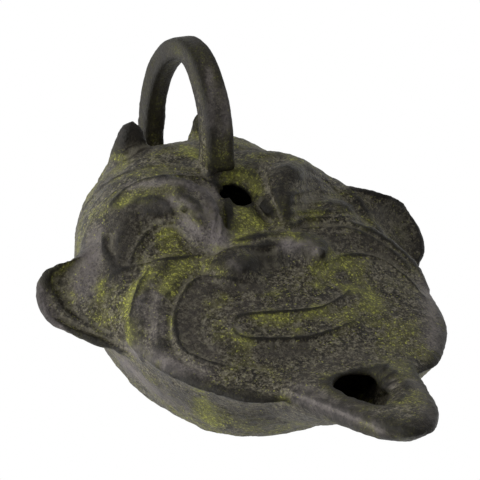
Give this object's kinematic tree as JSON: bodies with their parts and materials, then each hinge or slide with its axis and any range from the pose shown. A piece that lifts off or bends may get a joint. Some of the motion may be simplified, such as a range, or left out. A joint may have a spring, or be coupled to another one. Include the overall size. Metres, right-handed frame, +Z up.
{
  "type": "oil lamp",
  "caption": "Hollow cast bronze oil lamp shaped as a grinning horned mask lying face up, with a wick nozzle, a filling hole, animal ears and a loop handle.",
  "frame": {"origin": "on the flat underside of the bowl, on the mirror plane, at the ground", "axes": "+Z up, the nozzle points towards -Y, the forehead is towards +Y, +X is the mask's left cheek"},
  "size_m": [0.0976, 0.1315, 0.0777],
  "materials": {
    "bronze": "dark brown-grey bronze patina, matt to satin, with yellow-green corrosion in the hollows"
  },
  "bodies": {
    "root": {"lamp": "bronze"}
  },
  "joints": []
}
